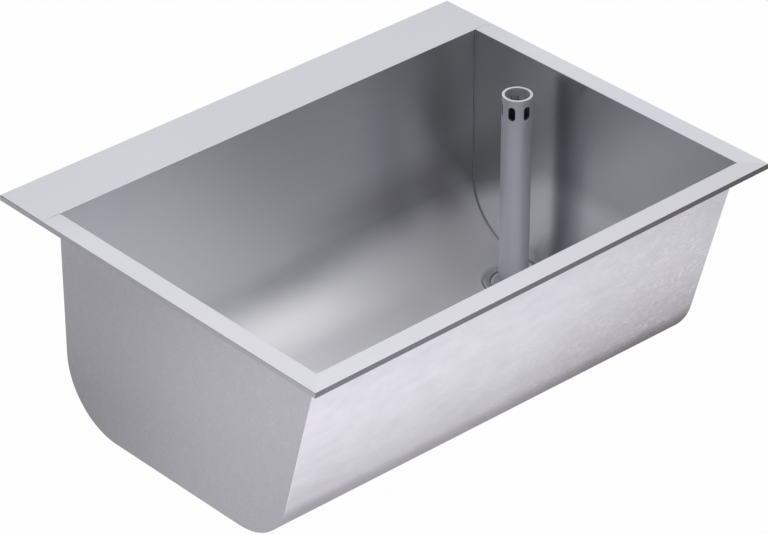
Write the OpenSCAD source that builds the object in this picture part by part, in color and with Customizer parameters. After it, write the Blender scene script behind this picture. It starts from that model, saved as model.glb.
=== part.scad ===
// Inset service sink: a folded rim, a bowl bent from one sheet between two flat
// end plates, and a waste with a standpipe that lifts out.
// X runs along the rim, Y towards the back ledge, Z up.
// The origin is the middle of the rim, in the plane that the rim seats on.

/* [Rim] */
// Length of the rim
rim_l = 650; // [560:1:760]
// Width of the rim, front to back
rim_w = 504.5; // [460:0.5:600]
// Width of the ledge behind the bowl
ledge_w = 73; // [60:0.5:100]
// Width of the border in front of the bowl
front_border = 24.5; // [20:0.5:40]
// Width of the border at each end of the bowl
side_border = 24; // [20:0.5:40]
// Height of the turned-down edge
rim_h = 6.7; // [5.7:0.1:12]
// Thickness of the rim and bowl sheet
sheet_t = 1; // [0.8:0.1:1.6]

/* [Bowl] */
// Depth from the rim to the floor at the shallow end
bowl_depth = 252; // [190:1:320]
// Fall of the floor from end to end, towards the waste
floor_fall = 15.6; // [8:0.1:24]
// Fall of the floor towards the back wall, in degrees
cross_fall = 1; // [0.4:0.1:2]
// Slant of the front wall, in degrees
front_slant = 15; // [6:0.5:20]
// Inside radius of the two long bends
bend_r = 77; // [50:1:85]

/* [Waste] */
// Distance of the waste from the right end plate
drain_from_end = 43.5; // [42:0.5:120]
// Distance of the waste from the back wall
drain_from_back = 114.5; // [114:0.5:160]
// Depth of the dish that the waste sits in
dish_depth = 5.4; // [5:0.1:8]
// Diameter of the waste flange
flange_d = 70; // [66:0.5:72]
// Thickness of the flange
flange_h = 2.6; // [2.4:0.1:4]
// Diameter of the recess in the flange
recess_d = 54.8; // [50:0.1:58]
// Depth of the recess
recess_depth = 1.8; // [1:0.1:2]
// Outside diameter of the threaded tail
tail_d = 47.8; // [46:0.1:49]
// Bore of the throat
throat_d = 36; // [35.6:0.1:37]
// Length of the tail below the flange
tail_l = 62; // [52:1:90]
// Depth of the groove between the nut's thread and the trap's thread
relief_depth = 1.5; // [1:0.1:2]
// Width of that groove
relief_w = 2.5; // [2:0.1:4]
// Distance across the flats of the lock nut
nut_af = 60; // [56:1:70]
// Thickness of the lock nut
nut_h = 10; // [6:0.5:16]
// Thickness of the gasket below the flange
flange_gasket_t = 1.5; // [1:0.1:2.5]
// Thickness of the rubber washer below the floor
under_gasket_t = 3; // [2:0.1:5]
// Thickness of the slip washer
slip_washer_t = 1.5; // [1:0.1:3]

/* [Strainer] */
// Thickness of the strainer disc
strainer_t = 1.5; // [1:0.1:3]
// Diameter of the strainer's holes
strainer_hole_d = 5; // [3:0.1:6]
// Depth of the strainer below the flange
strainer_depth = 24; // [22:0.5:34]

/* [Standpipe] */
// Outside diameter of the tube
tube_d = 35; // [32:0.1:36]
// Wall of the tube
tube_wall = 3; // [2:0.1:4]
// Depth of the tube's top below the rim
tube_below_rim = 21.2; // [12:0.1:80]
// Number of overflow slots
slot_count = 6; // [4:1:6]
// Width of a slot
slot_w = 8.4; // [6:0.1:10]
// Height of a slot
slot_h = 17.4; // [12:0.1:24]
// Distance from the tube's top to the slots
slot_from_top = 8.6; // [6:0.5:20]
// Direction of the first slot, in degrees from the X axis
slot_turn = 25; // [0:1:60]
// Diameter of the plug's collar
collar_d = 44.4; // [43:0.1:44.8]
// Thickness of the plug's collar
collar_t = 2.9; // [2.4:0.1:4]
// Diameter of the plug below its collar
neck_d = 34; // [32:0.1:34.2]
// Length of the plug below its collar
neck_l = 14.6; // [12:0.1:16]
// Bore through the plug
plug_bore_d = 23; // [18:0.5:24]
// Length of the spigot inside the tube
spigot_l = 20; // [12:1:40]
// Thickness of the rubber ring
seal_d = 4; // [3.4:0.1:4.4]

/* [Underside] */
// Width of the sealing strip
strip_w = 12; // [8:0.5:16]
// Length of the stiffener below the ledge
stiffener_l = 560; // [300:5:600]
// Width of the stiffener over its flanges
stiffener_w = 44; // [36:1:48]
// Width of each stiffener flange
stiffener_flange = 10; // [7:0.5:14]
// Thickness of the stiffener sheet
stiffener_t = 1.2; // [0.8:0.1:1.6]
// Length of the damping pad
pad_l = 300; // [150:5:340]
// Width of the damping pad
pad_w = 160; // [80:5:170]
// Thickness of the damping pad
pad_t = 3; // [2:0.5:6]
// Distance from the middle of the bowl to the middle of the pad
pad_offset = 70; // [40:5:100]
// Width of the bonding tag
tag_w = 20; // [16:1:30]
// Height of the tag's leg on the back wall
tag_leg = 25; // [18:1:40]
// Reach of the tag from the back wall
tag_reach = 24; // [20:1:34]
// Thickness of the tag
tag_t = 2; // [1.5:0.1:3]
// Hole in the tag
tag_hole_d = 6.4; // [4.2:0.1:8.4]
// Distance of the tag from the middle of the sink
tag_x = 200; // [100:5:240]
// Depth of the tag below the rim's seat
tag_depth = 20; // [14:1:60]

/* [Clearances] */
// Radial gap of a part that slips over the tail
tail_clearance = 0.1; // [0.05:0.05:0.3]
// Radial gap between the tail and its hole in the dish
hole_clearance = 0.6; // [0.3:0.1:1]
// Radial gap round the flange in its dish
dish_clearance = 1; // [0.5:0.1:1.5]
// Radial gap round the plug's collar
collar_clearance = 0.4; // [0.3:0.05:0.6]
// Radial gap of the strainer in the throat
strainer_clearance = 0.1; // [0.05:0.05:0.2]
// Radial gap of the spigot in the tube
spigot_clearance = 0.1; // [0.05:0.05:0.2]
// Radial gap of the rubber ring on the plug
ring_clearance = 0.08; // [0.02:0.01:0.1]
// Gap between the rubber ring and what it seals
seat_clearance = 0.3; // [0.2:0.05:0.5]

/* [Hidden] */
$fn = 96;

// Far enough for a cutting shape to pass right through
past = 1;
// How far a bend's arc laps over the two flats that it joins
bend_lap = 0.002;
// How far the stiffener stays above the rim's seat
hat_z = 0.7;
steel = [0.72, 0.72, 0.75];
chrome = [0.82, 0.83, 0.86];
brass = [0.78, 0.62, 0.32];
rubber = [0.13, 0.13, 0.14];
grey_plastic = [0.5, 0.5, 0.53];

// The rim and the opening of the bowl
rim_x = rim_l / 2;
rim_y = rim_w / 2;
rim_under = rim_h - sheet_t;
open_x = rim_x - side_border;
open_back = rim_y - ledge_w;
open_front = -rim_y + front_border;
plate_x = open_x + sheet_t;

// Planes of the floor and the walls, on the outside of the sheet.
// A normal points into the bowl.
fall_x = floor_fall / (2 * open_x);
fall_y = tan(cross_fall);
floor_n = unit([fall_x, fall_y, 1]);
back_n = [0, -1, 0];
front_n = [0, cos(front_slant), sin(front_slant)];
back_y = open_back + sheet_t;
front_y = open_front - sheet_t / cos(front_slant);
bend_out_r = bend_r + sheet_t;
floor_mid = rim_h - bowl_depth - open_x * fall_x;
under_mid = floor_mid - sheet_t / floor_n.z;
// Where each wall meets the floor, half way along the bowl
back_foot = [0, back_y, under_mid - back_y * fall_y];
front_foot_y = (front_y + (rim_under - under_mid) * tan(front_slant)) / (1 - fall_y * tan(front_slant));
front_foot = [0, front_foot_y, under_mid - front_foot_y * fall_y];
reach_x = 2 * open_x;
reach_y = rim_w;
reach_z = 2 * bowl_depth;

// The waste, its seat and what clamps it
drain_x = open_x - drain_from_end;
drain_y = open_back - drain_from_back;
dish_z = floor_mid - drain_x * fall_x - drain_y * fall_y - dish_depth;
dish_r = flange_d / 2 + dish_clearance;
dish_flare = 1.5;
flange_z = dish_z + flange_gasket_t;
flange_edge = 1.2;
flange_taper = 2;
recess_z = flange_z + flange_h - recess_depth;
tail_r = tail_d / 2;
hole_r = tail_r + hole_clearance;
under_z = dish_z - sheet_t;
slip_z = under_z - under_gasket_t;
nut_z = slip_z - slip_washer_t;
gasket_inset = 1;
gasket_r = flange_d / 2 - gasket_inset;
slip_r = gasket_r - gasket_inset;
nut_chamfer = 1.2;
// The ledge that carries the strainer
strainer_z = flange_z - strainer_depth;
strainer_ledge = 1.5;
strainer_margin = 2.1;

// The plug, from the land of the flange downwards
collar_top = recess_z;
collar_z = collar_top - collar_t;
neck_z = collar_z - neck_l;
neck_chamfer = 1.5;
plug_chamfer = 1;
spigot_r = tube_d / 2 - tube_wall - spigot_clearance;
seal_r = seal_d / 2;
seal_ring_r = neck_d / 2 + ring_clearance + seal_r;
seal_z = collar_z - seat_clearance - seal_r;
lip_reach = 0.6;
lip_r = neck_d / 2 + lip_reach;
lip_h = 1;
lip_z = seal_z - seal_r - seat_clearance - lip_h;
// The seat under the rubber ring is a cone at 45 degrees: z = r + seat_rise
seat_reach = (seal_r + seat_clearance) / sqrt(2);
seat_rise = seal_z - seal_ring_r - 2 * seat_reach;
pocket_r = collar_d / 2 + collar_clearance;
recess_fall = 0.6;
tube_top = rim_h - tube_below_rim;
tube_bore_r = tube_d / 2 - tube_wall;
slot_z = tube_top - slot_from_top - slot_h + slot_w / 2;

function unit(v) = v / norm(v);
// The front mitres run along X by this much while they cross y of a strip
function mitre_run(y) = y * side_border / front_border;

// A box between two corners
module span(low, high) {
    translate(low) cube(high - low);
}

// A tube or ring about the waste's axis, standing on z
module ring(outer_r, inner_r, z, h) {
    translate([drain_x, drain_y, z]) difference() {
        cylinder(h = h, r = outer_r);
        translate([0, 0, -past]) cylinder(h = h + 2 * past, r = inner_r);
    }
}

// A turned part about the waste's axis, from its half section
module turned(points) {
    translate([drain_x, drain_y, 0]) rotate_extrude() polygon(points);
}

// Places a shape on the underside of the floor at x, with its Z along the floor's normal
module on_floor(x) {
    lengthwise = unit([1, 0, -fall_x]);
    crosswise = cross(floor_n, lengthwise);
    multmatrix([
        [lengthwise.x, crosswise.x, floor_n.x, x],
        [lengthwise.y, crosswise.y, floor_n.y, 0],
        [lengthwise.z, crosswise.z, floor_n.z, under_mid - x * fall_x],
        [0, 0, 0, 1]
    ]) children();
}

// The space inside one wall and the long bend at its foot.
// inset moves both faces inwards by that much.
module bend_space(foot, wall_n, inset) {
    along = unit(cross(floor_n, wall_n));
    across = unit(cross(along, floor_n) * (cross(along, floor_n) * wall_n > 0 ? 1 : -1));
    length_way = cross(across, floor_n);
    corner = 180 - acos(floor_n * wall_n);
    run = bend_out_r / tan(corner / 2);
    centre = [run, bend_out_r];
    radius = bend_out_r - inset;
    wall_in = [sin(corner), -cos(corner)];
    wall_up = [cos(corner), sin(corner)];
    on_wall = centre - radius * wall_in;
    multmatrix([
        [across.x, floor_n.x, length_way.x, foot.x],
        [across.y, floor_n.y, length_way.y, foot.y],
        [across.z, floor_n.z, length_way.z, foot.z],
        [0, 0, 0, 1]
    ]) linear_extrude(height = 2 * reach_x, center = true) union() {
        translate(centre) circle(r = radius + bend_lap);
        polygon([
            centre,
            [run, -bend_out_r],
            [reach_y, -bend_out_r],
            [reach_y, reach_z],
            on_wall + reach_z * wall_up,
            on_wall
        ]);
    }
}

// The inside of the bowl, or with inset 0 its outer form, between two planes across X
module bowl_space(inset, low_x, high_x, top_z) {
    intersection() {
        bend_space(back_foot, back_n, inset);
        bend_space(front_foot, front_n, inset);
        on_floor(0) span([-reach_x, -reach_y, inset], [reach_x, reach_y, reach_z]);
        span([low_x, -rim_y, -reach_z], [high_x, rim_y, top_z]);
    }
}

module rim_back() {
    color(steel) {
        span([-rim_x, open_back, rim_under], [rim_x, rim_y, rim_h]);
        span([-rim_x, rim_y - sheet_t, 0], [rim_x, rim_y, rim_under]);
        for (side = [-1, 1]) {
            skirt_x = side > 0 ? rim_x - sheet_t : -rim_x;
            span([skirt_x, open_back, 0], [skirt_x + sheet_t, rim_y - sheet_t, rim_under]);
        }
    }
}

module rim_front() {
    color(steel) {
        translate([0, 0, rim_under]) linear_extrude(height = sheet_t) polygon([
            [-rim_x, -rim_y],
            [rim_x, -rim_y],
            [open_x, open_front],
            [-open_x, open_front]
        ]);
        linear_extrude(height = rim_under) polygon([
            [-rim_x, -rim_y],
            [rim_x, -rim_y],
            [rim_x - mitre_run(sheet_t), -rim_y + sheet_t],
            [-rim_x + mitre_run(sheet_t), -rim_y + sheet_t]
        ]);
    }
}

// Right border strip
module rim_side() {
    color(steel) {
        translate([0, 0, rim_under]) linear_extrude(height = sheet_t) polygon([
            [open_x, open_front],
            [rim_x, -rim_y],
            [rim_x, open_back],
            [open_x, open_back]
        ]);
        linear_extrude(height = rim_under) polygon([
            [rim_x, -rim_y],
            [rim_x, open_back],
            [rim_x - sheet_t, open_back],
            [rim_x - sheet_t, -rim_y + sheet_t * front_border / side_border]
        ]);
    }
}

module rim_right() {
    rim_side();
}

module rim_left() {
    mirror([1, 0, 0]) rim_side();
}

// Back wall, floor and front wall in one sheet, with a dish for the waste
module bowl_wrap() {
    dish_top = dish_depth + sheet_t + 2 * past;
    color(steel) difference() {
        union() {
            bowl_space(0, -open_x, open_x, rim_under);
            translate([drain_x, drain_y, under_z])
                cylinder(h = dish_top, r = dish_r + dish_flare + sheet_t);
        }
        bowl_space(sheet_t, -plate_x, plate_x, rim_h);
        translate([drain_x, drain_y, dish_z])
            cylinder(h = dish_top, r1 = dish_r, r2 = dish_r + dish_flare);
        translate([drain_x, drain_y, under_z - past]) cylinder(h = sheet_t + 2 * past, r = hole_r);
    }
}

module end_plate_right() {
    color(steel) bowl_space(0, open_x, plate_x, rim_under);
}

module end_plate_left() {
    color(steel) bowl_space(0, -plate_x, -open_x, rim_under);
}

// Soft strip inside the turned-down edge
module seal_strip() {
    outer_x = rim_x - sheet_t;
    outer_y = rim_y - sheet_t;
    color(rubber) difference() {
        span([-outer_x, -outer_y, 0], [outer_x, outer_y, rim_under]);
        span(
            [strip_w - outer_x, strip_w - outer_y, -past],
            [outer_x - strip_w, outer_y - strip_w, rim_under + past]
        );
    }
}

// Top-hat channel, open side up, against the underside of the ledge
module ledge_stiffener() {
    mid_y = (back_y + rim_y - sheet_t - strip_w) / 2;
    hat_w = stiffener_w - 2 * stiffener_flange;
    color(steel) translate([-stiffener_l / 2, mid_y, 0]) difference() {
        union() {
            span([0, -stiffener_w / 2, rim_under - stiffener_t], [stiffener_l, stiffener_w / 2, rim_under]);
            span([0, -hat_w / 2, hat_z], [stiffener_l, hat_w / 2, rim_under]);
        }
        span(
            [-past, stiffener_t - hat_w / 2, hat_z + stiffener_t],
            [stiffener_l + past, hat_w / 2 - stiffener_t, rim_under + past]
        );
    }
}

// Damping pad, flat against the sloping underside of the floor
module sound_pad() {
    color(rubber) on_floor(-pad_offset) span([-pad_l / 2, -pad_w / 2, -pad_t], [pad_l / 2, pad_w / 2, 0]);
}

// Angle on the back wall, with a hole for a bonding lead
module earth_tag() {
    hole_y = back_y + tag_reach - tag_w / 2;
    color(steel) difference() {
        union() {
            span([tag_x - tag_w / 2, back_y, -tag_depth - tag_leg], [tag_x + tag_w / 2, back_y + tag_t, -tag_depth]);
            span([tag_x - tag_w / 2, back_y, -tag_depth - tag_t], [tag_x + tag_w / 2, hole_y, -tag_depth]);
            translate([tag_x, hole_y, -tag_depth - tag_t]) cylinder(h = tag_t, r = tag_w / 2);
        }
        translate([tag_x, hole_y, -tag_depth - tag_t - past]) cylinder(h = tag_t + 2 * past, r = tag_hole_d / 2);
    }
}

// Flange, conical seat, throat and threaded tail in one casting
module waste_body() {
    land_r = flange_d / 2 - flange_taper;
    recess_r = recess_d / 2;
    throat_r = throat_d / 2;
    strainer_r = throat_r - strainer_ledge;
    tail_z = flange_z - tail_l;
    relief_z = nut_z - nut_h - relief_w;
    color(chrome) turned([
        [tail_r, flange_z],
        [flange_d / 2, flange_z],
        [flange_d / 2, flange_z + flange_edge],
        [land_r, flange_z + flange_h],
        [recess_r, flange_z + flange_h],
        [recess_r, recess_z],
        [pocket_r, recess_z - recess_fall],
        [pocket_r, pocket_r + seat_rise],
        [throat_r, throat_r + seat_rise],
        [throat_r, strainer_z - strainer_t],
        [strainer_r, strainer_z - strainer_t],
        [strainer_r, strainer_z - strainer_t - strainer_ledge],
        [throat_r, strainer_z - strainer_t - 2 * strainer_ledge],
        [throat_r, tail_z],
        [tail_r, tail_z],
        [tail_r, relief_z],
        [tail_r - relief_depth, relief_z],
        [tail_r - relief_depth, relief_z + relief_w],
        [tail_r, relief_z + relief_w]
    ]);
}

// Perforated disc: one hole in the middle and two rings of holes
module strainer() {
    disc_r = throat_d / 2 - strainer_clearance;
    pitch = (disc_r - strainer_margin - strainer_hole_d / 2) / 2;
    color(steel) translate([drain_x, drain_y, strainer_z - strainer_t]) difference() {
        cylinder(h = strainer_t, r = disc_r);
        for (circle_no = [0:2], k = [0:max(1, 6 * circle_no) - 1]) {
            rotate(k * 60 / max(1, circle_no)) translate([circle_no * pitch, 0, -past])
                cylinder(h = strainer_t + 2 * past, r = strainer_hole_d / 2);
        }
    }
}

module flange_gasket() {
    color(rubber) ring(gasket_r, hole_r, dish_z, flange_gasket_t);
}

module under_gasket() {
    color(rubber) ring(gasket_r, tail_r + tail_clearance, slip_z, under_gasket_t);
}

module slip_washer() {
    color(grey_plastic) ring(slip_r, tail_r + tail_clearance, nut_z, slip_washer_t);
}

// Hexagon nut with its lower corners turned off
module lock_nut() {
    corner_r = nut_af / 2 / cos(30);
    color(brass) translate([drain_x, drain_y, nut_z - nut_h]) difference() {
        intersection() {
            cylinder(h = nut_h, r = corner_r, $fn = 6);
            union() {
                cylinder(h = nut_chamfer, r1 = nut_af / 2, r2 = corner_r);
                translate([0, 0, nut_chamfer]) cylinder(h = nut_h - nut_chamfer, r = corner_r);
            }
        }
        translate([0, 0, -past]) cylinder(h = nut_h + 2 * past, r = tail_r + tail_clearance);
    }
}

// Rubber ring under the plug's collar
module plug_seal() {
    color(rubber) translate([drain_x, drain_y, seal_z]) rotate_extrude() translate([seal_ring_r, 0])
        circle(r = seal_r);
}

// Foot of the standpipe: spigot, collar, and a neck with a lip that keeps the ring on
module standpipe_plug() {
    bore_r = plug_bore_d / 2;
    neck_r = neck_d / 2;
    collar_r = collar_d / 2;
    color(grey_plastic) turned([
        [bore_r, neck_z],
        [neck_r - neck_chamfer, neck_z],
        [neck_r, neck_z + neck_chamfer],
        [neck_r, lip_z],
        [lip_r, lip_z],
        [lip_r, lip_z + lip_h],
        [neck_r, lip_z + lip_h],
        [neck_r, collar_z],
        [collar_r - plug_chamfer, collar_z],
        [collar_r, collar_z + plug_chamfer],
        [collar_r, collar_top - plug_chamfer],
        [collar_r - plug_chamfer, collar_top],
        [spigot_r, collar_top],
        [spigot_r, collar_top + spigot_l - plug_chamfer],
        [spigot_r - plug_chamfer, collar_top + spigot_l],
        [bore_r, collar_top + spigot_l]
    ]);
}

// Overflow tube, open at the top, with slots through its wall
module standpipe_tube() {
    color(steel) difference() {
        ring(tube_d / 2, tube_bore_r, collar_top, tube_top - collar_top);
        for (k = [0:slot_count - 1]) {
            translate([drain_x, drain_y, slot_z]) rotate(slot_turn + k * 360 / slot_count) slot();
        }
    }
}

// Cutter for one slot, from the axis out through the wall
module slot() {
    upright = slot_h - slot_w;
    for (z = [0, upright]) {
        translate([0, 0, z]) rotate([0, 90, 0]) cylinder(h = tube_d, r = slot_w / 2);
    }
    span([0, -slot_w / 2, 0], [tube_d, slot_w / 2, upright]);
}

rim_back();
rim_front();
rim_left();
rim_right();
bowl_wrap();
end_plate_left();
end_plate_right();
seal_strip();
ledge_stiffener();
sound_pad();
earth_tag();
waste_body();
strainer();
flange_gasket();
under_gasket();
slip_washer();
lock_nut();
plug_seal();
standpipe_plug();
standpipe_tube();
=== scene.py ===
"""The dressed model of an inset service sink: folded rim, sheet bowl, waste and standpipe."""
import math

import bmesh
import bpy
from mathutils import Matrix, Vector, geometry


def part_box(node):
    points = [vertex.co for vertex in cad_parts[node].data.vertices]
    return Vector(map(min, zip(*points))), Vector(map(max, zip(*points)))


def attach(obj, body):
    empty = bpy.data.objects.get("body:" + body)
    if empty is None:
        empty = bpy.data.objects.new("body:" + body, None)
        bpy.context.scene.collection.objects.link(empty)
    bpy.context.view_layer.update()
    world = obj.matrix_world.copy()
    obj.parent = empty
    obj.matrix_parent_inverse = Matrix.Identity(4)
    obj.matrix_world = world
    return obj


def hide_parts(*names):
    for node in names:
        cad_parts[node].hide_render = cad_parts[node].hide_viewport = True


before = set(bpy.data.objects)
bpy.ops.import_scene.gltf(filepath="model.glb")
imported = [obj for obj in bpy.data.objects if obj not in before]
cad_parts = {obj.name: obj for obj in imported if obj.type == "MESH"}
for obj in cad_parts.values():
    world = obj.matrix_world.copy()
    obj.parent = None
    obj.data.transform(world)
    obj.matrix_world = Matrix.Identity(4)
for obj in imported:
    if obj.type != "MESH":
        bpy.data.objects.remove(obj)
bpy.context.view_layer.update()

MM = 0.001


# ---------------------------------------------------------------- sizes, in mm, from the frame
def node_box(node):
    low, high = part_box(node)
    return low / MM, high / MM


rim_low, rim_high = node_box("rim_back")
RIM_X = rim_high.x
RIM_Y = rim_high.y
RIM_H = rim_high.z
OPEN_BACK = rim_low.y
OPEN_FRONT = node_box("rim_front")[1].y
SHEET = RIM_H - node_box("bowl_wrap")[1].z
RIM_UNDER = RIM_H - SHEET
OPEN_X = node_box("end_plate_right")[0].x
BACK_Y = node_box("bowl_wrap")[1].y
waste_low, waste_high = node_box("waste_body")
DRAIN_X = (waste_low.x + waste_high.x) / 2
DRAIN_Y = (waste_low.y + waste_high.y) / 2
FLANGE_R = (waste_high.x - waste_low.x) / 2
TAIL_END = waste_low.z
FLANGE_TOP = waste_high.z
gasket_low, gasket_high = node_box("flange_gasket")
FLANGE_Z = gasket_high.z
DISH_Z = gasket_low.z
TUBE_TOP = node_box("standpipe_tube")[1].z

# The bowl's bends and slopes, as in the solids
BEND_OUT_R = 78.0
FLOOR_FALL = 15.6
CROSS_FALL = math.tan(math.radians(1.0))
FRONT_SLANT = math.radians(15.0)
BOWL_DEPTH = 252.0

FALL_X = FLOOR_FALL / (2 * OPEN_X)
FLOOR_N = Vector((FALL_X, CROSS_FALL, 1.0)).normalized()
BACK_N = Vector((0.0, -1.0, 0.0))
FRONT_N = Vector((0.0, math.cos(FRONT_SLANT), math.sin(FRONT_SLANT)))
FLOOR_MID = RIM_H - BOWL_DEPTH - OPEN_X * FALL_X
UNDER_MID = FLOOR_MID - SHEET / FLOOR_N.z
FRONT_Y = OPEN_FRONT - SHEET / math.cos(FRONT_SLANT)


# ---------------------------------------------------------------- the bowl's section
def bend_centre(x, wall):
    """Centre of a long bend at x: as far from the wall's outer face as from the floor's."""
    lift = UNDER_MID - x * FALL_X + BEND_OUT_R / FLOOR_N.z
    if wall == "back":
        y = BACK_Y - BEND_OUT_R
    else:
        across = BEND_OUT_R + FRONT_Y * FRONT_N.y + RIM_UNDER * FRONT_N.z
        y = (across - lift * FRONT_N.z) / (FRONT_N.y - CROSS_FALL * FRONT_N.z)
    return Vector((x, y, lift - y * CROSS_FALL))


def bend_normal(wall, share):
    """The direction into the bowl on a bend: share 0 is on the wall and 1 on the floor."""
    wall_n = BACK_N if wall == "back" else FRONT_N
    angle = wall_n.angle(FLOOR_N)
    mixed = wall_n * math.sin((1 - share) * angle) + FLOOR_N * math.sin(share * angle)
    return mixed / math.sin(angle)


def bend_point(x, wall, share, inset):
    wall_n = BACK_N if wall == "back" else FRONT_N
    point = bend_centre(x, wall) - (BEND_OUT_R - inset) * bend_normal(wall, share)
    along = FLOOR_N.cross(wall_n).normalized()
    return point - along * ((point.x - x) / along.x)


def floor_z(x, y, inset):
    return UNDER_MID - x * FALL_X - y * CROSS_FALL + inset / FLOOR_N.z


def back_bend_z(x, y, inset):
    """Height of the back bend where the plan point x, y lies on it."""
    centre = bend_centre(x, "back")
    radius = BEND_OUT_R - inset
    stretch = math.hypot(1, FALL_X)
    share = max(-1.0, min(1.0, (y - centre.y) / radius))
    return centre.z - stretch * radius * math.sqrt(1 - share * share)


def spread(start, end, count):
    return [start + (end - start) * k / count for k in range(count)]


PATCH_BACK = 108.0
PATCH_FRONT = 22.0
PATCH_X = 213.0
ARC_STEPS = 22
FLOOR_MARKS = [80.0, 60.0, 40.0, PATCH_FRONT, 0.0, -30.0, -60.0, -85.0]


def patch_share():
    """Share of the back bend at which its height over the plan is PATCH_BACK."""
    low, high = 0.0, 1.0
    for _ in range(50):
        mid = (low + high) / 2
        if bend_point(0, "back", mid, SHEET).y > PATCH_BACK:
            low = mid
        else:
            high = mid
    return low


PATCH_SHARE = patch_share()


def section(x, inset, top=None):
    """The bowl's outline at x, from the top of the back wall round to the top of the front wall.

    Each entry is a point and the direction there into the bowl.
    """
    top = RIM_UNDER if top is None else top
    line = []
    shares = spread(0.0, PATCH_SHARE, ARC_STEPS - 2) + [PATCH_SHARE, (1 + PATCH_SHARE) / 2, 1.0]
    bend_top = bend_point(x, "back", 0.0, inset)
    for z in spread(top, bend_top.z, 5):
        line.append((Vector((x, BACK_Y - inset, z)), BACK_N))
    for share in shares:
        line.append((bend_point(x, "back", share, inset), bend_normal("back", share)))
    for y in FLOOR_MARKS:
        line.append((Vector((x, y, floor_z(x, y, inset))), FLOOR_N))
    for share in spread(1.0, 0.0, ARC_STEPS) + [0.0]:
        line.append((bend_point(x, "front", share, inset), bend_normal("front", share)))
    wall_foot = bend_point(x, "front", 0.0, inset)
    top_y = FRONT_Y + (inset - (top - RIM_UNDER) * FRONT_N.z) / FRONT_N.y
    wall_top = Vector((x, top_y, top))
    for point in spread(wall_foot, wall_top, 5)[1:] + [wall_top]:
        line.append((point, FRONT_N))
    return line


def section_points(x, inset, top=None):
    return [point for point, _ in section(x, inset, top)]


# ---------------------------------------------------------------- meshes
AROUND = 96
SHARP_ANGLE = math.radians(35)
MERGE_DIST = 0.00001
NEAR = 0.01
SIDE_WORD = {-1: "left", 1: "right"}


def put_in_scene(name, data):
    thing = bpy.data.objects.new(name, data)
    bpy.context.scene.collection.objects.link(thing)
    return thing


def new_piece(name, verts, faces, replaced=()):
    """A piece from points in mm, with its faces turned the same way round."""
    mesh = bpy.data.meshes.new(name)
    mesh.from_pydata([Vector(v) * MM for v in verts], [], faces)
    bm = bmesh.new()
    bm.from_mesh(mesh)
    bmesh.ops.remove_doubles(bm, verts=bm.verts, dist=MERGE_DIST)
    bmesh.ops.recalc_face_normals(bm, faces=bm.faces)
    bm.to_mesh(mesh)
    bm.free()
    return finish_piece(put_in_scene(name, mesh), replaced)


def finish_piece(piece, replaced):
    for polygon in piece.data.polygons:
        polygon.use_smooth = True
    piece.data.set_sharp_from_angle(angle=SHARP_ANGLE)
    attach(piece, "sink")
    if replaced:
        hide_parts(*replaced)
    return piece


def round_edges(piece, limit, width, segments):
    """A modifier that rounds edges, with its width in mm."""
    bevel = piece.modifiers.new("rounded_edges", "BEVEL")
    bevel.limit_method = limit
    bevel.width = width * MM
    bevel.segments = segments
    bevel.harden_normals = True
    return bevel


def bevel_edges(piece, widths):
    """Rounds the edges for which widths(middle, direction) gives a width in mm."""
    mesh = piece.data
    layer = mesh.attributes.new("bevel_weight_edge", "FLOAT", "EDGE")
    found = []
    for edge in mesh.edges:
        a, b = (mesh.vertices[i].co / MM for i in edge.vertices)
        found.append(widths((a + b) / 2, (b - a).normalized()))
    widest = max(found)
    for index, width in enumerate(found):
        layer.data[index].value = width / widest
    round_edges(piece, "WEIGHT", widest, 4)


def keep_flats(piece):
    """Large flat faces keep their own direction, and the shading turns in the small ones."""
    flats = piece.modifiers.new("flat_faces", "WEIGHTED_NORMAL")
    flats.mode = "FACE_AREA"
    flats.weight = 100
    flats.keep_sharp = True


def loft(rings, closed=True, capped=False):
    """Faces between rings of equal length, each a list of points."""
    verts = [point for ring in rings for point in ring]
    count = len(rings[0])
    faces = []
    for r in range(len(rings) - 1):
        for k in range(count if closed else count - 1):
            n = (k + 1) % count
            faces.append((r * count + k, r * count + n, (r + 1) * count + n, (r + 1) * count + k))
    if capped:
        faces.append(tuple(range(count)))
        faces.append(tuple((len(rings) - 1) * count + k for k in range(count)))
    return verts, faces


def about_waste(angle, profile):
    """Points about the waste's axis at this angle, from (radius, height) pairs."""
    across, along = math.cos(angle), math.sin(angle)
    return [Vector((DRAIN_X + r * across, DRAIN_Y + r * along, z)) for r, z in profile]


def lathe(profile):
    """A turned shape about the waste's axis, open at its profile's ends."""
    rings = [about_waste(2 * math.pi * k / AROUND, profile) for k in range(AROUND)]
    rings.append(rings[0])
    return loft(rings, closed=False)


def add_faces(verts, faces, more_verts, more_faces):
    """Joins more points and faces on."""
    base = len(verts)
    verts += more_verts
    faces += [tuple(base + i for i in face) for face in more_faces]


# ---------------------------------------------------------------- rim
FOLD_ROUND = 0.8
MOUTH_ROUND = 0.55
FOOT_ROUND = 0.3


def mitre_x(depth):
    """How far the front mitre runs along X at this depth from the bowl's opening."""
    return depth * (RIM_X - OPEN_X) / (OPEN_FRONT + RIM_Y)


def rim_width(middle, direction):
    """Width of the rounding on a rim's edge: the fold outside, a fine one round the opening."""
    lengthwise, crosswise = abs(direction.x) > 0.9, abs(direction.y) > 0.9
    top = abs(middle.z - RIM_H) < NEAR
    outer = abs(abs(middle.x) - RIM_X) < NEAR and crosswise
    outer = outer or (abs(abs(middle.y) - RIM_Y) < NEAR and lengthwise)
    if top and outer:
        return FOLD_ROUND
    opening = abs(abs(middle.x) - OPEN_X) < NEAR and crosswise and middle.y < OPEN_BACK
    opening = opening or (abs(middle.y - OPEN_BACK) < NEAR and abs(middle.x) < OPEN_X and lengthwise)
    opening = opening or (abs(middle.y - OPEN_FRONT) < NEAR and lengthwise)
    if top and opening:
        return MOUTH_ROUND
    if abs(direction.z) < NEAR and abs(middle.z) < NEAR:
        return FOOT_ROUND
    return 0.0


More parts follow.
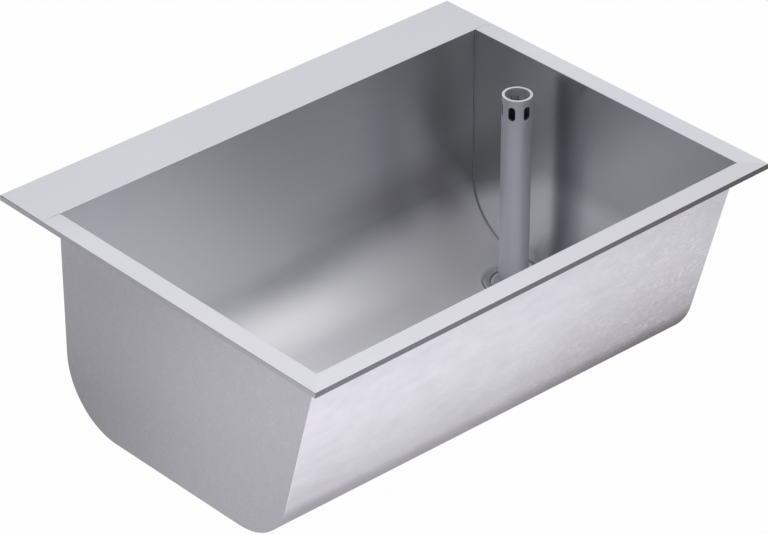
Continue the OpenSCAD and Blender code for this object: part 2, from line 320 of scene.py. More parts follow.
def strip_rings(outer, at_end):
    """End rings of a folded strip: at_end(end, depth) places a point, depth from the opening."""
    inner = outer - SHEET
    profile = [(0, RIM_UNDER), (0, RIM_H), (outer, RIM_H), (outer, 0), (inner, 0), (inner, RIM_UNDER)]
    return [[Vector((*at_end(end, depth), z)) for depth, z in profile] for end in (0, 1)]


def folded_strip(name, node, width, at_end):
    verts, faces = loft(strip_rings(width, at_end), capped=True)
    piece = new_piece(name, verts, faces, [node])
    bevel_edges(piece, rim_width)
    return piece


def front_strip():
    def at_end(end, depth):
        side = 1 if end else -1
        return side * (OPEN_X + mitre_x(depth)), OPEN_FRONT - depth

    return folded_strip("front_strip", "rim_front", OPEN_FRONT + RIM_Y, at_end)


def side_strip(side):
    width = RIM_X - OPEN_X

    def at_end(end, depth):
        if end:
            return side * (OPEN_X + depth), OPEN_BACK
        return side * (OPEN_X + depth), OPEN_FRONT - depth * (OPEN_FRONT + RIM_Y) / width

    return folded_strip(f"{SIDE_WORD[side]}_strip", f"rim_{SIDE_WORD[side]}", width, at_end)


def back_ledge():
    """The wide ledge with its edge turned down on three sides."""
    def stations(depth, z):
        return [
            Vector((-RIM_X + depth, OPEN_BACK, z)), Vector((-RIM_X + depth, RIM_Y - depth, z)),
            Vector((RIM_X - depth, RIM_Y - depth, z)), Vector((RIM_X - depth, OPEN_BACK, z)),
        ]

    rings = [stations(0, RIM_H), stations(0, 0), stations(SHEET, 0), stations(SHEET, RIM_UNDER)]
    verts, faces = loft(rings, closed=False)
    start = len(verts)
    for x in (-OPEN_X, OPEN_X):
        verts += [Vector((x, OPEN_BACK, RIM_H)), Vector((x, OPEN_BACK, RIM_UNDER))]
    left_top, left_under, right_top, right_under = range(start, start + 4)
    faces += [
        (0, 1, 2, 3, right_top, left_top),
        (12, 13, 14, 15, right_under, left_under),
        (left_top, right_top, right_under, left_under),
        (0, left_top, left_under, 12),
        (3, right_top, right_under, 15),
        (0, 4, 8, 12),
        (3, 7, 11, 15),
    ]
    piece = new_piece("back_ledge", verts, faces, ["rim_back"])
    bevel_edges(piece, rim_width)
    return piece


# ---------------------------------------------------------------- bowl
DISH_BOTTOM_R = 35.7
DISH_TOP_R = 41.4
DISH_STEP = 0.38
PATCH_R = 42.4
HOLE_R = 24.5
# The belt map unrolls the section about this line, at this radius, in metres
UNROLL_Y = -0.02
UNROLL_Z = -0.06
UNROLL_R = 0.2


def inner_z(x, y):
    foot = bend_point(x, "back", 1.0, SHEET)
    return floor_z(x, y, SHEET) if y < foot.y else back_bend_z(x, y, SHEET)


def dished_z(x, y):
    """Height of the bowl's inside round the waste, with the pressed dish."""
    radius = math.hypot(x - DRAIN_X, y - DRAIN_Y)
    share = max(0.0, min(1.0, (radius - DISH_BOTTOM_R) / (DISH_TOP_R - DISH_BOTTOM_R)))
    share = 1 - (1 - share) ** 3
    return DISH_Z * (1 - share) + inner_z(x, y) * share


def dished_normal(x, y):
    step = 0.05
    along = (dished_z(x + step, y) - dished_z(x - step, y)) / (2 * step)
    across = (dished_z(x, y + step) - dished_z(x, y - step)) / (2 * step)
    return Vector((-along, -across, 1.0)).normalized()


def map_belt_run(piece, run):
    """A map whose first axis follows the grinding belt's lines, for the sheen across them."""
    layer = piece.data.uv_layers.new(name="belt_run")
    for loop in piece.data.loops:
        layer.data[loop.index].uv = run(piece.data.vertices[loop.vertex_index].co)


class Sheet:
    """Sheet metal from its inner face: points, what lies behind them, and normals into the bowl."""

    def __init__(self):
        self.inner = []
        self.outer = []
        self.normals = []
        self.faces = []

    def point(self, inner, normal, outer=None):
        if outer is None:
            outer = inner - normal * SHEET
            outer.x = inner.x
        self.inner.append(inner)
        self.outer.append(outer)
        self.normals.append(normal)
        return len(self.inner) - 1

    def face(self, corners):
        turned = geometry.normal([self.inner[i] for i in corners])
        towards = sum((self.normals[i] for i in corners), Vector())
        self.faces.append(tuple(corners) if turned.dot(towards) > 0 else tuple(reversed(corners)))

    def build(self, name, replaced):
        count = len(self.inner)
        verts = self.inner + self.outer
        faces = list(self.faces) + [tuple(count + i for i in reversed(face)) for face in self.faces]
        edges = set()
        for face in self.faces:
            edges.update(zip(face, face[1:] + face[:1]))
        faces += [(b, a, count + a, count + b) for a, b in edges if (b, a) not in edges]
        mesh = bpy.data.meshes.new(name)
        mesh.from_pydata([v * MM for v in verts], [], faces)
        sheets = 2 * len(self.faces)
        loop_normals = []
        for polygon in mesh.polygons:
            polygon.use_smooth = True
            for i in polygon.vertices:
                if polygon.index >= sheets:
                    loop_normals.append(polygon.normal.copy())
                else:
                    loop_normals.append(self.normals[i] if i < count else -self.normals[i - count])
        mesh.normals_split_custom_set(loop_normals)
        piece = put_in_scene(name, mesh)
        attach(piece, "sink")
        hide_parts(*replaced)
        return piece


def dish_patch(sheet, corner_points):
    """The floor round the waste: rings in the dish, and triangles out to the patch's edge."""
    radii = [HOLE_R, 30.0, 34.5] + [DISH_BOTTOM_R + DISH_STEP * k for k in range(16)] + [PATCH_R]
    rings = []
    for radius in radii:
        ring = []
        for k in range(AROUND):
            angle = 2 * math.pi * k / AROUND
            x, y = DRAIN_X + radius * math.cos(angle), DRAIN_Y + radius * math.sin(angle)
            ring.append(sheet.point(Vector((x, y, dished_z(x, y))), dished_normal(x, y)))
        rings.append(ring)
    for inner_ring, outer_ring in zip(rings, rings[1:]):
        for k in range(AROUND):
            n = (k + 1) % AROUND
            sheet.face((inner_ring[k], inner_ring[n], outer_ring[n], outer_ring[k]))
    ids = list(corner_points) + rings[-1]
    corners = len(corner_points)
    links = [(k, (k + 1) % corners) for k in range(corners)]
    links += [(corners + k, corners + (k + 1) % AROUND) for k in range(AROUND)]
    for x in range(int(PATCH_X) + 6, int(OPEN_X) - 2, 6):
        for y in (bend_point(x, "back", share, SHEET).y for share in (1.0, (1 + PATCH_SHARE) / 2)):
            if math.hypot(x - DRAIN_X, y - DRAIN_Y) > PATCH_R + 1:
                ids.append(sheet.point(Vector((x, y, inner_z(x, y))), dished_normal(x, y)))
    flat = [sheet.inner[i].to_2d() for i in ids]
    _, _, triangles, _, _, _ = geometry.delaunay_2d_cdt(flat, links, [], 0, 1e-6)
    for triangle in triangles:
        middle = sum((flat[i] for i in triangle), Vector((0.0, 0.0))) / 3
        if math.hypot(middle.x - DRAIN_X, middle.y - DRAIN_Y) > PATCH_R - 0.1:
            sheet.face([ids[i] for i in triangle])


def bowl_sheet():
    """Back wall, floor and front wall bent from one sheet, with the dish pressed into it."""
    sheet = Sheet()
    stations = [-OPEN_X + k * (PATCH_X + OPEN_X) / 8 for k in range(9)] + [OPEN_X]
    rows = []
    for x in stations:
        inside, outside = section(x, SHEET), section_points(x, 0)
        rows.append([sheet.point(point, normal, back) for (point, normal), back in zip(inside, outside)])
    low_points = [i for i in rows[-2] if sheet.inner[i].z < -200]
    patch_edge = [i for i in low_points if PATCH_FRONT - 0.1 < sheet.inner[i].y < PATCH_BACK + 0.1]
    start, count = rows[-2].index(patch_edge[0]), len(patch_edge)
    for near, far in zip(rows, rows[1:]):
        for k in range(len(near) - 1):
            if near is rows[-2] and start <= k < start + count - 1:
                continue
            sheet.face((near[k], near[k + 1], far[k + 1], far[k]))
    dish_patch(sheet, rows[-2][start:start + count] + rows[-1][start:start + count][::-1])
    piece = sheet.build("bowl_sheet", ["bowl_wrap"])
    map_belt_run(piece, lambda co: (co.x, UNROLL_R * math.atan2(co.y - UNROLL_Y, UNROLL_Z - co.z)))
    return piece, len(sheet.faces)


def end_plate(side):
    """Flat end plate, its outer edge ground round where it is welded to the bent sheet."""
    rings = []
    for out, inset in ((0.0, 0.0), (0.3, 0.0), (0.62, 0.1), (0.86, 0.31), (0.97, 0.6), (1.0, 1.0)):
        x = side * (OPEN_X + out * SHEET)
        rings.append([Vector((x, p.y, p.z)) for p in section_points(x, inset)])
    verts, faces = loft(rings, capped=True)
    word = SIDE_WORD[side]
    piece = new_piece(f"{word}_end_plate", verts, faces, [f"end_plate_{word}"])
    keep_flats(piece)
    map_belt_run(piece, lambda co: (co.y, co.z))
    return piece


def corner_weld(side):
    """Ground fillet weld along the inside corner between an end plate and the bent sheet."""
    size = 1.6
    steps = 5
    edge_points = []
    for k in range(steps + 1):
        angle = math.pi / 2 * k / steps
        edge_points.append((size - size * math.sin(angle), size - size * math.cos(angle)))
    edge_points.append((-0.15, -0.15))
    lines = []
    for from_plate, from_sheet in edge_points:
        x = side * (OPEN_X - from_plate)
        lines.append(section_points(x, SHEET + from_sheet, RIM_H - 0.6))
    rings = [[line[k] for line in lines] for k in range(len(lines[0]))]
    verts, faces = loft(rings, capped=True)
    return new_piece(f"{SIDE_WORD[side]}_corner_weld", verts, faces)


def rim_weld():
    """Rippled weld bead under the rim, all round the outside of the bowl."""
    leg = 2.4
    ripple = 1.1
    right, left = OPEN_X + SHEET, -OPEN_X - SHEET
    plan = ((right, FRONT_Y), (right, BACK_Y), (left, BACK_Y), (left, FRONT_Y))
    corners = [Vector((x, y, 0)) for x, y in plan]
    rings = []
    for k, corner in enumerate(corners):
        following = corners[(k + 1) % 4]
        along = (following - corner).normalized()
        out = Vector((along.y, -along.x, 0))
        lean = math.tan(FRONT_SLANT) if k == 3 else 0.0
        length = (following - corner).length
        ripples = int(length / ripple)
        for n in range(ripples + 1):
            swell = 1.0 + (0.09 if n % 2 else -0.05)
            at = corner + along * (length * n / ripples)
            reach = out * leg * swell
            ring = [at + Vector((0, 0, RIM_UNDER)) - out * 0.2]
            for a in (0, 0.4, 0.8, 1.2):
                drop = Vector((0, 0, RIM_UNDER - leg * swell * math.sin(a)))
                ring.append(at + reach * math.cos(a) + drop)
            ring.append(at + Vector((0, 0, RIM_UNDER - leg * swell)) - out * (0.1 + leg * lean))
            rings.append(ring)
    rings.append(rings[0])
    verts, faces = loft(rings)
    return new_piece("rim_weld", verts, faces)


# ---------------------------------------------------------------- underside
def spot_welds():
    """Dimples of the electrode down both flanges of the stiffener."""
    low, high = node_box("ledge_stiffener")
    verts, faces = [], []
    profile = [(3.4, 0.0), (3.2, 0.14), (2.7, 0.2), (2.3, 0.06), (0.9, 0.0)]
    steps = 20
    welds = 10
    from_edge, from_end = 5.0, 28.0
    flange_under = RIM_UNDER - 1.2
    turns = [2 * math.pi * n / steps for n in range(steps)]
    for y in (low.y + from_edge, high.y - from_edge):
        for k in range(welds):
            x = low.x + from_end + k * (high.x - low.x - 2 * from_end) / (welds - 1)
            rings = []
            for r, depth in profile:
                z = flange_under - depth
                rings.append([Vector((x + r * math.cos(t), y + r * math.sin(t), z)) for t in turns])
            dimple, dimple_faces = loft(rings)
            dimple_faces.append(tuple((len(profile) - 1) * steps + n for n in range(steps)))
            add_faces(verts, faces, dimple, dimple_faces)
    return new_piece("spot_welds", verts, faces)


def tiled_pad():
    """Damping pad moulded in square tiles, stuck to the underside of the floor."""
    length, width, thick, groove = 300.0, 160.0, 3.0, 1.3
    centre_x = -70.0
    lengthwise = Vector((1.0, 0.0, -FALL_X)).normalized()
    crosswise = FLOOR_N.cross(lengthwise)
    origin = Vector((centre_x, 0.0, UNDER_MID - centre_x * FALL_X))
    columns, rows = 15, 8
    bm = bmesh.new()

    def corner(u, v, w):
        return bm.verts.new(origin + lengthwise * u + crosswise * v - FLOOR_N * w)

    grid = []
    for c in range(columns + 1):
        u = (c / columns - 0.5) * length
        grid.append([corner(u, (r / rows - 0.5) * width, thick - groove) for r in range(rows + 1)])
    tiles = []
    for c in range(columns):
        for r in range(rows):
            tiles.append(bm.faces.new((grid[c][r], grid[c][r + 1], grid[c + 1][r + 1], grid[c + 1][r])))
    edge = [g[0] for g in grid] + grid[-1][1:] + [g[-1] for g in grid[-2::-1]] + grid[0][-2:0:-1]
    axes = (lengthwise, crosswise)
    top = [corner(*((v.co - origin).dot(axis) for axis in axes), 0.0) for v in edge]
    for k in range(len(edge)):
        n = (k + 1) % len(edge)
        bm.faces.new((edge[k], edge[n], top[n], top[k]))
    bm.faces.new(top)
    bmesh.ops.recalc_face_normals(bm, faces=bm.faces)
    for inset, rise in ((1.0, 0.0), (0.25, groove - 0.5), (0.3, 0.38), (0.5, 0.12)):
        bmesh.ops.inset_individual(bm, faces=tiles, thickness=inset, depth=rise)
    for vert in bm.verts:
        vert.co *= MM
    mesh = bpy.data.meshes.new("tiled_pad")
    bm.to_mesh(mesh)
    bm.free()
    return finish_piece(put_in_scene("tiled_pad", mesh), ["sound_pad"])


# ---------------------------------------------------------------- waste
def waste_fitting():
    """Turned flange, seat and throat, and a tail with its thread cut as a helix."""
    tail_r = 23.9
    root_r = 22.5
    pitch = 2.309
    rows_per_turn = 8
    throat_r = 18.0
    relief_top = node_box("lock_nut")[0].z
    relief_low = relief_top - 2.5
    recess_r, recess_z = 27.4, FLANGE_TOP - 1.8
    # The seat runs at 45 degrees, its height the radius plus this
    seat_rise = -291.53
    seat_r = 22.6
    # The throat's ledge under the strainer
    ledge_r, ledge_top, ledge_low, ledge_foot = 16.5, -290.3, -291.8, -293.3
    chamfer = 0.6
    inside = [
        (FLANGE_R, FLANGE_Z), (FLANGE_R, FLANGE_Z + 0.8), (FLANGE_R - 0.25, FLANGE_Z + 1.3),
        (FLANGE_R - 0.8, FLANGE_Z + 1.7), (33.0, FLANGE_TOP - 0.15), (32.2, FLANGE_TOP), (28.0, FLANGE_TOP),
        (27.6, FLANGE_TOP - 0.12), (recess_r, FLANGE_TOP - 0.4), (recess_r, recess_z + 0.3), (27.1, recess_z),
        (23.0, recess_z - 0.55), (seat_r, recess_z - 0.8), (seat_r, seat_r + seat_rise + 0.3),
        (22.4, 22.4 + seat_rise), (throat_r + 0.3, throat_r + 0.3 + seat_rise),
        (throat_r, throat_r + seat_rise - 0.3), (throat_r, ledge_top), (ledge_r, ledge_top), (ledge_r, ledge_low),
        (throat_r, ledge_foot), (throat_r, TAIL_END + chamfer), (throat_r + chamfer, TAIL_END),
    ]
    verts, faces = lathe(inside)
    rows = int((relief_low - TAIL_END) / pitch * rows_per_turn)
    rings = []
    for k in range(AROUND + 1):
        turn = k / AROUND
        ring = []
        for row in range(rows + 1):
            z = TAIL_END + (relief_low - TAIL_END) * row / rows
            phase = ((z - TAIL_END) / pitch + turn) % 1.0
            tooth = min(1.0, max(0.0, 1.35 - abs(phase - 0.5) * 3.4))
            fade = min(1.0, (z - TAIL_END) / 1.4, (relief_low - z) / 1.2)
            radius = root_r + (tail_r - root_r) * tooth * max(0.0, fade)
            ring.append((radius, z))
        ring += [(root_r, relief_top), (tail_r, relief_top), (tail_r, FLANGE_Z)]
        rings.append(about_waste(2 * math.pi * turn, ring))
    add_faces(verts, faces, *loft(rings, closed=False))
    # The foot's ring and the flange's underside
    for z, r_in, r_out in ((TAIL_END, throat_r + chamfer, root_r), (FLANGE_Z, tail_r, FLANGE_R)):
        add_faces(verts, faces, *lathe([(r_in, z), (r_out, z)]))
    return new_piece("waste_fitting", verts, faces, ["waste_body"])


# ---------------------------------------------------------------- material helpers
class Net:
    """A node tree with short ways to add and join nodes."""

    def __init__(self, tree):
        self.tree = tree
        self.nodes = tree.nodes
        self.links = tree.links

    def add(self, kind, **values):
        node = self.nodes.new(kind)
        for key, value in values.items():
            setattr(node, key, value)
        return node

    def join(self, source, target):
        self.links.new(source, target)

    def math(self, operation, a, b=None, clamp=False):
        node = self.add("ShaderNodeMath", operation=operation, use_clamp=clamp)
        for socket, value in zip(node.inputs, (a, b)):
            self.feed(socket, value)
        return node.outputs[0]

    def times(self, a, b):
        return self.math("MULTIPLY", a, b)

    def vector(self, operation, a, b=None, result="Vector"):
        node = self.add("ShaderNodeVectorMath", operation=operation)
        for socket, value in zip(node.inputs, (a, b)):
            self.feed(socket, value)
        return node.outputs[result]

    def place(self):
        """The place on the object, in metres."""
        return self.add("ShaderNodeTexCoord").outputs["Object"]

    def place_xyz(self):
        apart = self.add("ShaderNodeSeparateXYZ")
        self.join(self.place(), apart.inputs[0])
        return apart.outputs

    def feed(self, socket, value):
        if isinstance(value, bpy.types.NodeSocket):
            self.join(value, socket)
        elif value is not None:
            socket.default_value = value

    def fill(self, node, **values):
        """Feeds the inputs that are named by these words, with a _ for each space."""
        for label, value in values.items():
            self.feed(node.inputs[label.replace("_", " ")], value)
        return node


def new_group(name, inputs, outputs):
    group = bpy.data.node_groups.new(name, "ShaderNodeTree")
    for label, kind, default in inputs:
        socket = group.interface.new_socket(label, in_out="INPUT", socket_type=kind)
        socket.default_value = default
    for label, kind in outputs:
        group.interface.new_socket(label, in_out="OUTPUT", socket_type=kind)
    net = Net(group)
    return group, net, net.add("NodeGroupInput"), net.add("NodeGroupOutput")


FLOAT = "NodeSocketFloat"
VECTOR = "NodeSocketVector"
# Lines and bands to the metre, for belt lines along one axis or none
ALONG_X = ((6.0, 700.0, 700.0), (2.5, 150.0, 150.0))
ALONG_Y = ((700.0, 6.0, 700.0), (150.0, 2.5, 150.0))
ALONG_Z = ((700.0, 700.0, 6.0), (150.0, 150.0, 2.5))
NO_WAY = ((500.0, 500.0, 500.0), (120.0, 120.0, 120.0))
EVEN_GRAIN = (330.0, 330.0, 330.0)
ROLLED_GRAIN = (170.0, 330.0, 330.0)
MOULDED_GRAIN = (700.0, 700.0, 700.0)
FINE_GRAIN = (800.0, 800.0, 800.0)
# The range that noise mostly keeps within
NOISE_RANGE = (0.25, 0.75)
# The share of its strength that the grain keeps where its mask is 0
WEAK_GRAIN = 0.15


def scaled_noise(net, scale, detail, distortion=0.0):
    """Noise laid over the object with its own scale along each axis."""
    where = net.vector("MULTIPLY", net.place(), scale)
    noise = net.add("ShaderNodeTexNoise")
    net.fill(noise, Vector=where, Scale=1.0, Detail=detail, Distortion=distortion)
    return noise.outputs["Fac"]


def make_brushed():
    """Fine lines left by the grinding belt. The scales are lines to the metre along each axis."""
    group, net, source, sink = new_group(
        "brushed_lines",
        [("Line Scale", VECTOR, ALONG_X[0]), ("Band Scale", VECTOR, ALONG_X[1])],
        [("Lines", FLOAT), ("Bands", FLOAT)],
    )
    lines = scaled_noise(net, source.outputs["Line Scale"], 3.0)
    net.fill(sink, Lines=lines, Bands=scaled_noise(net, source.outputs["Band Scale"], 2.0))
    return group


def make_marks():
    """Soft patches where the sheet was handled and wiped."""
    group, net, source, sink = new_group(
        "wiped_patches",
        [("Scale", FLOAT, 9.0), ("Contrast", FLOAT, 1.0)],
        [("Patches", FLOAT), ("Tint", FLOAT)],
    )
    where = net.place()
    for label, times, detail in (("Patches", 1.0, 4.0), ("Tint", 0.6, 1.0)):
        scale = net.times(source.outputs["Scale"], times)
        noise = net.fill(net.add("ShaderNodeTexNoise"), Vector=where, Scale=scale, Detail=detail)
        swing = net.times(net.math("SUBTRACT", noise.outputs["Fac"], 0.5), source.outputs["Contrast"])
        net.join(net.math("ADD", swing, 0.5, clamp=True), sink.inputs[label])
    return group


def make_grain():
    """Mottled grain of a frosted or moulded face, at so many grains to the metre."""
    group, net, source, sink = new_group(
        "mottled_grain",
        [("Scale", VECTOR, (300.0, 300.0, 300.0))],
        [("Grain", FLOAT), ("Clouds", FLOAT)],
    )
    wide = net.vector("MULTIPLY", source.outputs["Scale"], (0.22, 0.22, 0.22))
    grain = scaled_noise(net, source.outputs["Scale"], 1.5, 0.8)
    net.fill(sink, Grain=grain, Clouds=scaled_noise(net, wide, 3.0))
    return group


def make_round_mask():
    """1 within a radius of the waste's axis and 0 outside it."""
    group, net, source, sink = new_group(
        "round_mask",
        [("Radius", FLOAT, 0.02), ("Softness", FLOAT, 0.0003)],
        [("Mask", FLOAT)],
    )
    offset = net.vector("SUBTRACT", net.place(), (DRAIN_X * MM, DRAIN_Y * MM, 0.0))
    flat = net.vector("MULTIPLY", offset, (1.0, 1.0, 0.0))
    inside = net.math("SUBTRACT", source.outputs["Radius"], net.vector("LENGTH", flat, result="Value"))
    share = net.math("ADD", net.math("DIVIDE", inside, source.outputs["Softness"]), 0.5, clamp=True)
    net.join(share, sink.inputs["Mask"])
    return group


BRUSHED = make_brushed()
MARKS = make_marks()
GRAIN = make_grain()
ROUND = make_round_mask()


def mix_colour(net, factor, a, b):
    a, b = ((*end, 1.0) if isinstance(end, tuple) else end for end in (a, b))
    return net.fill(net.add("ShaderNodeMix", data_type="RGBA"), Factor=factor, A=a, B=b).outputs["Result"]


def ranged(net, value, low, high, start=0.0, end=1.0):
    node = net.add("ShaderNodeMapRange")
    net.fill(node, Value=value, From_Min=start, From_Max=end, To_Min=low, To_Max=high)
    return node.outputs["Result"]


def blend(net, first, second, share):
    """Two masks added, with this share of the first."""
    return net.math("ADD", net.times(first, share), net.times(second, 1 - share))


def group_node(net, group, **values):
    return net.fill(net.add("ShaderNodeGroup", node_tree=group), **values)


def metal_colour(net, tone, light, dark, tint, marks):
    """A colour from dark to light by tone, which drifts towards a tint."""
    colour = mix_colour(net, tone, dark, light)
    return mix_colour(net, net.times(marks.outputs["Tint"], 0.5), colour, tint)


def bumped(net, shader, height, strength, depth):
    bump = net.fill(net.add("ShaderNodeBump"), Strength=strength, Distance=depth, Height=height)
    net.join(bump.outputs["Normal"], shader.inputs["Normal"])


def new_material(name):
    material = bpy.data.materials.new(name)
    material.use_nodes = True
    net = Net(material.node_tree)
    return material, net, net.nodes["Principled BSDF"]


def brushed_metal(name, light, dark, tint, rough, way, patch_scale=7.0, depth=0.00001, shades=()):
    """Metal with belt lines one way, wiped patches and a slow drift of tint.

    Each of the shades is a mask made by a function of the net, the colour it leads to and the
    roughness it adds.
    """
    material, net, shader = new_material(name)
    shader.inputs["Metallic"].default_value = 1.0
    lines = group_node(net, BRUSHED, Line_Scale=way[0], Band_Scale=way[1])
    marks = group_node(net, MARKS, Scale=patch_scale, Contrast=1.5)
    tone = blend(net, lines.outputs["Bands"], marks.outputs["Patches"], 0.45)
    colour = metal_colour(net, tone, light, dark, tint, marks)
    level = blend(net, lines.outputs["Lines"], marks.outputs["Patches"], 0.45)
    finish_metal(net, shader, colour, ranged(net, level, *rough, *NOISE_RANGE), shades)
    if depth:
        bumped(net, shader, lines.outputs["Lines"], 0.25, depth)
    return material


def finish_metal(net, shader, colour, roughness, shades):
    """Lays the shades over the colour and roughness in turn."""
    for make_mask, other, rougher in shades:
        mask = make_mask(net)
        colour = mix_colour(net, mask, colour, other)
        roughness = net.math("ADD", roughness, net.times(mask, rougher))
    net.fill(shader, Base_Color=colour, Roughness=roughness)


def stretch_sheen(material, amount):
    """Reflections spread across the belt's lines, as they do on ground sheet."""
    net = Net(material.node_tree)
    belt = net.add("ShaderNodeTangent", direction_type="UV_MAP", uv_map="belt_run").outputs[0]
    net.fill(net.nodes["Principled BSDF"], Anisotropic=amount, Anisotropic_Rotation=0.25, Tangent=belt)


def painted_light_by_matt(material, make_mask, amount):
    """Painted light: lowers Metallic where the mask is, so that the pale colour shows matt."""
    net = Net(material.node_tree)
    less_metal = net.times(make_mask(net), -amount)
    net.join(net.math("ADD", less_metal, 1.0), net.nodes["Principled BSDF"].inputs["Metallic"])


def frosted_metal(
    name, light, dark, tint, rough, grain_scale=EVEN_GRAIN, depth=0.00006, shades=(), grainy=None,
):
    """Mill-finished metal with a mottled grain. grainy makes the mask of where the grain is strong."""
    material, net, shader = new_material(name)
    shader.inputs["Metallic"].default_value = 1.0
    grain = group_node(net, GRAIN, Scale=grain_scale)
    marks = group_node(net, MARKS, Scale=6.0, Contrast=1.5)
    strength = ranged(net, grain.outputs["Clouds"], 0.6, 2.6, 0.35, 0.65)
    if grainy:
        share = net.math("ADD", net.times(grainy(net), 1 - WEAK_GRAIN), WEAK_GRAIN)
        strength = net.times(strength, share)
    swing = net.times(net.math("SUBTRACT", grain.outputs["Grain"], 0.5), strength)
    tone = net.math("ADD", blend(net, grain.outputs["Clouds"], marks.outputs["Patches"], 0.5), swing)
    colour = metal_colour(net, tone, light, dark, tint, marks)
    level = blend(net, grain.outputs["Grain"], marks.outputs["Patches"], 0.5)
    finish_metal(net, shader, colour, ranged(net, level, *rough, *NOISE_RANGE), shades)
    bumped(net, shader, grain.outputs["Grain"], 0.5, depth)
    return material


def soft_matter(name, light, dark, rough, grain_scale=MOULDED_GRAIN, depth=0.00015):
    """Rubber or plastic with a moulded grain and rubbed patches."""
    material, net, shader = new_material(name)
    marks = group_node(net, MARKS, Scale=30.0, Contrast=1.8)
    grain = group_node(net, GRAIN, Scale=grain_scale)
    tone = blend(net, grain.outputs["Clouds"], marks.outputs["Patches"], 0.35)
    rough = ranged(net, tone, *rough, *NOISE_RANGE)
    net.fill(shader, Base_Color=mix_colour(net, tone, dark, light), Roughness=rough)
    bumped(net, shader, grain.outputs["Grain"], 0.5, depth)
    return material


def dress(piece, material):
    piece.data.materials.clear()
    piece.data.materials.append(material)
    return piece


def dress_node(node, material):
    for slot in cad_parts[node].material_slots:
        slot.link = "OBJECT"
        slot.material = material


def soften(node, width):
    """Rounds the sharp edges of a node that is kept as it is."""
    round_edges(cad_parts[node], "ANGLE", width, 2).angle_limit = math.radians(40)


# ---------------------------------------------------------------- painted light and shade, and other masks
# Radii round the waste's axis, in metres
SHOULDER_R = 0.0425
WORN_R = 0.17
RECESS_R = 0.0272
RECESS_LINE_R = 0.0258
TUBE_WALL_R = 0.0171
TUBE_BORE_R = 0.0148


def ramp(net, axis, start, end):
    """A mask that runs from 0 to 1 between two places on an axis, in millimetres."""
    return ranged(net, net.place_xyz()[axis], 0.0, 1.0, start * MM, end * MM)


def within(net, radius, softness):
    return group_node(net, ROUND, Radius=radius, Softness=softness).outputs["Mask"]


def near_ledge(net):
    """The back end of a side strip, which takes on the ledge's tone."""
    return ramp(net, "Y", OPEN_BACK - 70, OPEN_BACK)


def bowl_bottom_painted_light(net):
    """Painted light: the bottom of the bowl, painted brighter than its walls."""
    return ramp(net, "Z", -190, -240)


def bend_painted_shade(net):
    """Painted shade on the bend below the back wall, from the middle towards the right."""
    band = net.times(ramp(net, "Z", -120, -160), ramp(net, "Z", -235, -205))
    return net.times(band, ramp(net, "X", 0, 130))


def dish_painted_light(net):
    """Painted light on the pressed dish round the waste, which is brighter and matter than the floor."""
    return within(net, SHOULDER_R, 0.001)


def painted_light_round_waste(net):
    """Painted light on the floor round the waste, bright and matt, with a wide soft edge."""
    return net.times(within(net, WORN_R, 0.15), bowl_bottom_painted_light(net))


def corner_painted_shade(net):
    """Painted shade on the side of an end plate towards its corner with the back wall."""
    return ramp(net, "Y", 60, 130)


def plate_foot_painted_light(net):
    """Painted light on the foot of an end plate, which reaches less high towards the back."""
    place = net.place_xyz()
    towards_back = net.math("MAXIMUM", net.math("SUBTRACT", place["Y"], 0.06), 0.0)
    height = net.math("ADD", net.times(towards_back, 0.6), place["Z"])
    return ranged(net, height, 0.0, 1.0, -0.126, -0.154)


def right_end_painted_shade(net):
    """Painted shade along the front strip, darker towards its right end."""
    return ramp(net, "X", -300, 300)


def rolled_end(net):
    """The front wall's grain shows most at its right end, and towards the bend."""
    right = ramp(net, "X", -150, 260)
    return net.times(right, blend(net, right, ramp(net, "Z", -60, -260), 0.6))


def tube_foot_painted_shade(net):
    """Painted shade down the tube, darker towards its foot."""
    return ramp(net, "Z", -90, -230)


def slot_shade(net):
    """The dark walls of the tube's slots, and its dark bore below them."""
    wall = within(net, TUBE_WALL_R, 0.0003)
    bore = within(net, TUBE_BORE_R, 0.0003)
    below_top = ramp(net, "Z", TUBE_TOP - 1, TUBE_TOP - 2)
    deep = ramp(net, "Z", TUBE_TOP - 17, TUBE_TOP - 24)
    slots = net.times(net.math("SUBTRACT", wall, bore), below_top)
    return net.math("ADD", slots, net.times(bore, deep))


def floor_matt_painted_light(net):
    """How far the floor is made matt and pale, as painted light: some round the waste, more in the pressed dish."""
    worn = net.times(painted_light_round_waste(net), 0.45)
    return net.math("MAXIMUM", worn, net.times(dish_painted_light(net), 0.8))


def recess_painted_light(net):
    """Painted light on the bottom of the waste's recess, which makes it pale."""
    return within(net, RECESS_R, 0.0006)


def recess_shade(net):
    """The narrow dark line round the foot of the recess."""
    return net.math("SUBTRACT", recess_painted_light(net), within(net, RECESS_LINE_R, 0.0006))


# ---------------------------------------------------------------- finishes
LILAC = (0.69, 0.68, 0.77)
LILAC_DARK = (0.42, 0.41, 0.48)
BLUE_GREY = (0.69, 0.705, 0.77)
rim_sides = brushed_metal(
    "satin_rim_sides", (0.76, 0.76, 0.805), (0.72, 0.72, 0.76), LILAC, (0.30, 0.42), ALONG_Y,
    shades=[(near_ledge, (0.67, 0.675, 0.715), 0.0)],
)
# The front strip gets painted shade, darker towards its right end.
rim_front = brushed_metal(
    "satin_rim_front", (0.79, 0.79, 0.835), (0.75, 0.75, 0.79), LILAC, (0.30, 0.42), ALONG_X,
    shades=[(right_end_painted_shade, (0.68, 0.68, 0.72), 0.0)],
)
rim_ledge = brushed_metal(
    "satin_ledge", (0.69, 0.695, 0.735), (0.65, 0.655, 0.695), BLUE_GREY, (0.30, 0.42), ALONG_X,
)
